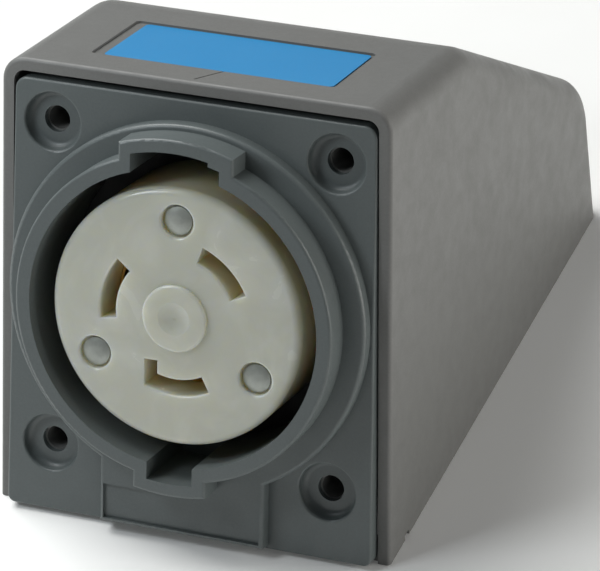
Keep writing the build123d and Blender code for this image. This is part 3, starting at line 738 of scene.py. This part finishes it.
@dataclass
class LockingReceptacle:
    """The white receptacle with its flange, bodies, bridge, rivets and contacts."""

    cover: CoverFrame
    front_height: float = 7.25 * MM
    rear_height: float = -44 * MM
    rivet_circle: float = 19.9 * MM
    rivet_recess: float = 1.4 * MM
    rivet_head: float = 2.9 * MM
    rivet_edge: float = 0.45 * MM
    rivet_dome: float = 0.4 * MM
    rivet_shank: float = 2 * MM
    bridge_circle: float = 37.5 * MM
    bridge_rear: float = -17.6 * MM
    bridge_head: float = 2.9 * MM
    bridge_edge: float = 0.9 * MM
    bridge_dome: float = 0.9 * MM
    bridge_slot: float = 0.9 * MM
    bridge_shank: float = 1.3 * MM
    bridge_reach: float = 9.6 * MM
    bridge_pitch: float = 0.8 * MM
    bridge_thread: float = 0.24 * MM
    waviness: float = 0.08 * MM

    def dress(self) -> None:
        """Gives the receptacle's CAD pieces their finishes."""
        front = self.cover.at(0, 0, self.front_height)
        nylon = WhiteNylon("moulded_white_nylon", "cdcec2", 0.2, front=front, outward=self.cover.outward)
        dress("receptacle_face", nylon.build())
        black = MouldedPolyester("moulded_black_nylon", "1b1c1c", 0.5, cloud_colour="242525",
                                 pit_shade_share=0.3).build()
        for node in ("seating_ring", "contact_carrier", "rear_body"):
            dress(node, black)
        dress("flange_gasket", MouldedRubber("moulded_black_rubber", "141414", 0.85).build())
        dress("mounting_bridge", WorkedMetal("zinc_plated_stamped_steel", "b9b8b0", 0.38).build())
        brass = WorkedMetal("stamped_brass", "c9a055", 0.32, tarnish="8a6a34").build()
        for line in Line:
            dress(f"contact_{line.value}", brass)

    def rivets(self) -> bpy.types.Object:
        """Makes the three headed rivets that hold the receptacle's bodies together.

        Returns:
            The rivets, as one piece.
        """
        tree = FastenerTree("headed_rivets", [
            SizeInput("Count", 3, "NodeSocketInt"), SizeInput("Circle Radius", self.rivet_circle),
            SizeInput("First Angle", math.pi / 2), SizeInput("Head Radius", self.rivet_head),
            SizeInput("Edge Height", self.rivet_edge), SizeInput("Dome Height", self.rivet_dome),
            SizeInput("Shank Radius", self.rivet_shank),
            SizeInput("Shank Length", self.front_height - self.rivet_recess - self.rear_height)])
        head = tree.domed_head(tree.size("Head Radius"), tree.size("Edge Height"),
                               tree.size("Dome Height"), self.waviness)
        shank = tree.plain_shank(tree.size("Shank Radius"), tree.size("Shank Length"))
        below = maths(tree.tree, "MULTIPLY", tree.size("Shank Length"), -1.0)
        rivet = tree.joined(head, shank, tree.moved(head, below, (math.pi, 0, 0)))
        copies = tree.on_circle(rivet, tree.size("Count"), tree.size("Circle Radius"),
                                tree.size("First Angle"))
        metal = WorkedMetal("headed_nickel_plated_rivet", "b6bab4", 0.48, tarnish="8a8d88",
                            tarnish_share=0.5, metallic=0.7).build()
        seat = Matrix.Translation((0, 0, self.front_height - self.rivet_recess))
        piece = tree.made(copies, "rivet_heads", metal, self.cover.matrix @ seat)
        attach(piece, "cover_assembly")
        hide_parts("assembly_rivets")
        return piece

    def bridge_screws(self) -> bpy.types.Object:
        """Makes the three screws that hold the bridge to the plate's pillars.

        Returns:
            The screws, as one piece.
        """
        tree = FastenerTree("bridge_screws", [
            SizeInput("Count", 3, "NodeSocketInt"), SizeInput("Circle Radius", self.bridge_circle),
            SizeInput("First Angle", math.pi / 2), SizeInput("Head Radius", self.bridge_head),
            SizeInput("Edge Height", self.bridge_edge), SizeInput("Dome Height", self.bridge_dome),
            SizeInput("Slot Width", self.bridge_slot), SizeInput("Slot Depth", self.bridge_slot),
            SizeInput("Shank Radius", self.bridge_shank), SizeInput("Shank Length", self.bridge_reach),
            SizeInput("Thread Pitch", self.bridge_pitch),
            SizeInput("Thread Depth", self.bridge_thread)])
        head = tree.domed_head(tree.size("Head Radius"), tree.size("Edge Height"),
                               tree.size("Dome Height"), 0.0)
        top = maths(tree.tree, "ADD", tree.size("Edge Height"), tree.size("Dome Height"))
        head = tree.slotted(head, Drive.CROSS, tree.size("Head Radius"), tree.size("Slot Width"),
                            tree.size("Slot Depth"), top)
        shank = tree.threaded_shank(tree.size("Shank Radius"), tree.size("Shank Length"),
                                    tree.size("Thread Pitch"), tree.size("Thread Depth"))
        copies = tree.on_circle(tree.joined(head, shank), tree.size("Count"),
                                tree.size("Circle Radius"), tree.size("First Angle"))
        metal = WorkedMetal("zinc_plated_screw", "b4b3aa", 0.3).build()
        rear = placed(self.cover.at(0, 0, self.bridge_rear), -self.cover.outward, Vector((-1, 0, 0)))
        piece = tree.made(copies, "bridge_screw_set", metal, rear)
        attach(piece, "cover_assembly")
        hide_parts("bridge_screws")
        return piece


@dataclass
class WireTerminal:
    """One terminal: its slotted screw and the clamp plate that it draws."""

    line: Line
    cover: CoverFrame
    seat: float = 20.25 * MM
    head_radius: float = 3.8 * MM
    edge_height: float = 1.9 * MM
    dome_height: float = 0.6 * MM
    slot_width: float = 0.9 * MM
    slot_depth: float = 1.2 * MM
    shank_radius: float = 2.0 * MM
    shank_length: float = 9.65 * MM
    pitch: float = 0.8 * MM
    thread_depth: float = 0.32 * MM

    def screw(self) -> bpy.types.Object:
        """Makes the terminal screw and lets it ride on its own body.

        Returns:
            The screw, with its slot along the receptacle's axis.
        """
        tree = FastenerTree(f"terminal_screw_{self.line.value}", [
            SizeInput("Head Radius", self.head_radius), SizeInput("Edge Height", self.edge_height),
            SizeInput("Dome Height", self.dome_height), SizeInput("Slot Width", self.slot_width),
            SizeInput("Slot Depth", self.slot_depth), SizeInput("Shank Radius", self.shank_radius),
            SizeInput("Shank Length", self.shank_length), SizeInput("Thread Pitch", self.pitch),
            SizeInput("Thread Depth", self.thread_depth)])
        head = tree.domed_head(tree.size("Head Radius"), tree.size("Edge Height"),
                               tree.size("Dome Height"), 0.0)
        top = maths(tree.tree, "ADD", tree.size("Edge Height"), tree.size("Dome Height"))
        head = tree.slotted(head, Drive.SLOT, tree.size("Head Radius"), tree.size("Slot Width"),
                            tree.size("Slot Depth"), top)
        shank = tree.threaded_shank(tree.size("Shank Radius"), tree.size("Shank Length"),
                                    tree.size("Thread Pitch"), tree.size("Thread Depth"))
        joint = JOINTS[f"{self.line.value}_screw_turn"]
        axis = Vector(joint["axis"]).normalized()
        place = placed(Vector(joint["pos_m"]) + axis * self.seat, axis, self.cover.outward)
        piece = tree.made(tree.joined(head, shank), f"driven_screw_{self.line.value}", self.metal(), place)
        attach(piece, f"screw_{self.line.value}")
        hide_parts(f"terminal_screw_{self.line.value}")
        return piece

    def metal(self) -> bpy.types.Material:
        """Green dyed zinc on the ground screw, bright zinc on the others.

        Returns:
            The screw's finish.
        """
        if self.line is Line.GROUND:
            return WorkedMetal("green_dyed_zinc_screw", "2f7a45", 0.34, tarnish="1d4a2c").build()
        return WorkedMetal(f"bright_zinc_screw_{self.line.value}", "c2c0b4", 0.28).build()

    def dress(self) -> None:
        """Gives the clamp plate its finish."""
        plate = WorkedMetal(f"zinc_plated_clamp_{self.line.value}", "aeada4", 0.4)
        dress(f"clamp_plate_{self.line.value}", plate.build())


# ---- Studio ----
@dataclass
class SoftLight:
    """One large soft panel that faces the object."""

    name: str
    direction: tuple[float, float, float]
    distance: float
    size: float
    power: float
    colour: str = "ffffff"

    def build(self, target: Vector) -> None:
        """Hangs the panel and turns it to the target.

        Args:
            target: the point that the panel faces.
        """
        data = bpy.data.lights.new(self.name, "AREA")
        data.shape = "SQUARE"
        data.size = self.size
        data.energy = self.power
        data.color = linear(self.colour)[:3]
        panel = bpy.data.objects.new(self.name, data)
        towards = Vector(self.direction).normalized()
        panel.location = target + towards * self.distance
        panel.rotation_euler = towards.to_track_quat("Z", "Y").to_euler()
        bpy.context.scene.collection.objects.link(panel)
        LOG.info("light %s at %s", self.name, tuple(round(v, 3) for v in panel.location))


@dataclass
class Studio:
    """The plain pale floor, the soft light and the camera."""

    floor_size: float = 6.0
    floor_gap: float = 0.1 * MM
    floor_colour: str = "fbfbfa"
    ambient_colour: str = "f4f8ff"
    ambient_strength: float = 0.05
    focal_length: float = 259.126
    clip_range: tuple[float, float] = (0.01, 50.0)
    camera_place: tuple[float, float, float] = (0.31835, -0.67283, 0.53851)
    camera_forward: tuple[float, float, float] = (-0.350978, 0.739328, -0.574638)
    camera_right: tuple[float, float, float] = (0.9243, 0.3712, -0.0867)
    lights: tuple[SoftLight, ...] = (
        SoftLight("overhead_panel", (-0.5, 0.2, 0.84), 1.5, 1.0, 23.5, "fdfefd"),
        SoftLight("side_panel", (0.97, 0.12, 0.1), 1.2, 0.8, 9.2, "fffdf8"),
        SoftLight("front_panel", (-0.50, -0.58, 0.64), 0.25, 0.07, 0.15, "f4fbff"),
    )

    def floor(self, level: float) -> None:
        """Lays the paper floor.

        Args:
            level: its height.
        """
        half = self.floor_size / 2
        mesh = bpy.data.meshes.new("paper_floor")
        corners = [(-half, -half, level), (half, -half, level), (half, half, level), (-half, half, level)]
        mesh.from_pydata(corners, [], [(0, 1, 2, 3)])
        mesh.materials.append(MattPaper("seamless_paper", self.floor_colour, 0.9).build())
        floor = bpy.data.objects.new("paper_floor", mesh)
        bpy.context.scene.collection.objects.link(floor)
        floor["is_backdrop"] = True

    def ambient(self) -> None:
        """Fills the room with even light."""
        world = bpy.data.worlds.new("soft_room")
        world.use_nodes = True
        tree = world.node_tree
        tree.nodes.clear()
        light = add_node(tree, "ShaderNodeBackground",
                         {"Color": linear(self.ambient_colour), "Strength": self.ambient_strength})
        add_node(tree, "ShaderNodeOutputWorld", {"Surface": light.outputs[0]})
        bpy.context.scene.world = world

    def camera(self) -> None:
        """Sets the camera to its place, aim and roll."""
        data = bpy.data.cameras.new("front_camera")
        data.lens = self.focal_length
        data.clip_start, data.clip_end = self.clip_range
        camera = bpy.data.objects.new("front_camera", data)
        camera.matrix_world = placed(Vector(self.camera_place), -Vector(self.camera_forward),
                                     Vector(self.camera_right))
        bpy.context.scene.collection.objects.link(camera)
        bpy.context.scene.camera = camera

    def build(self, low: Vector, high: Vector) -> None:
        """Sets up the floor, the lights and the camera round the object's box.

        Args:
            low: the box's low corner.
            high: the box's high corner.
        """
        self.floor(min(low.z, 0.0) - self.floor_gap)
        self.ambient()
        target = (low + high) / 2
        for light in self.lights:
            light.build(target)
        self.camera()
        bpy.context.scene.view_settings.view_transform = "Standard"


def main() -> None:
    """Builds the looks in order."""
    logging.basicConfig(level=logging.INFO, format="%(name)s: %(message)s")
    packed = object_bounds()
    Studio().build(*packed)
    cover = CoverFrame.from_joints()
    SurfaceBox(
        MouldedPolyester("moulded_grey_polyester", "767674", 0.5, cloud_colour="797977"),
        PrintedFilm("printed_blue_film", "2f92cf", 0.36),
    ).dress()
    CoverPlate(MouldedPolyester("moulded_slate_polyester", "616868", 0.42, cloud_colour="646b6b")).dress()
    receptacle = LockingReceptacle(cover)
    receptacle.dress()
    receptacle.rivets()
    receptacle.bridge_screws()
    for line in Line:
        terminal = WireTerminal(line, cover)
        terminal.dress()
        terminal.screw()


if __name__ == "__main__":
    main()
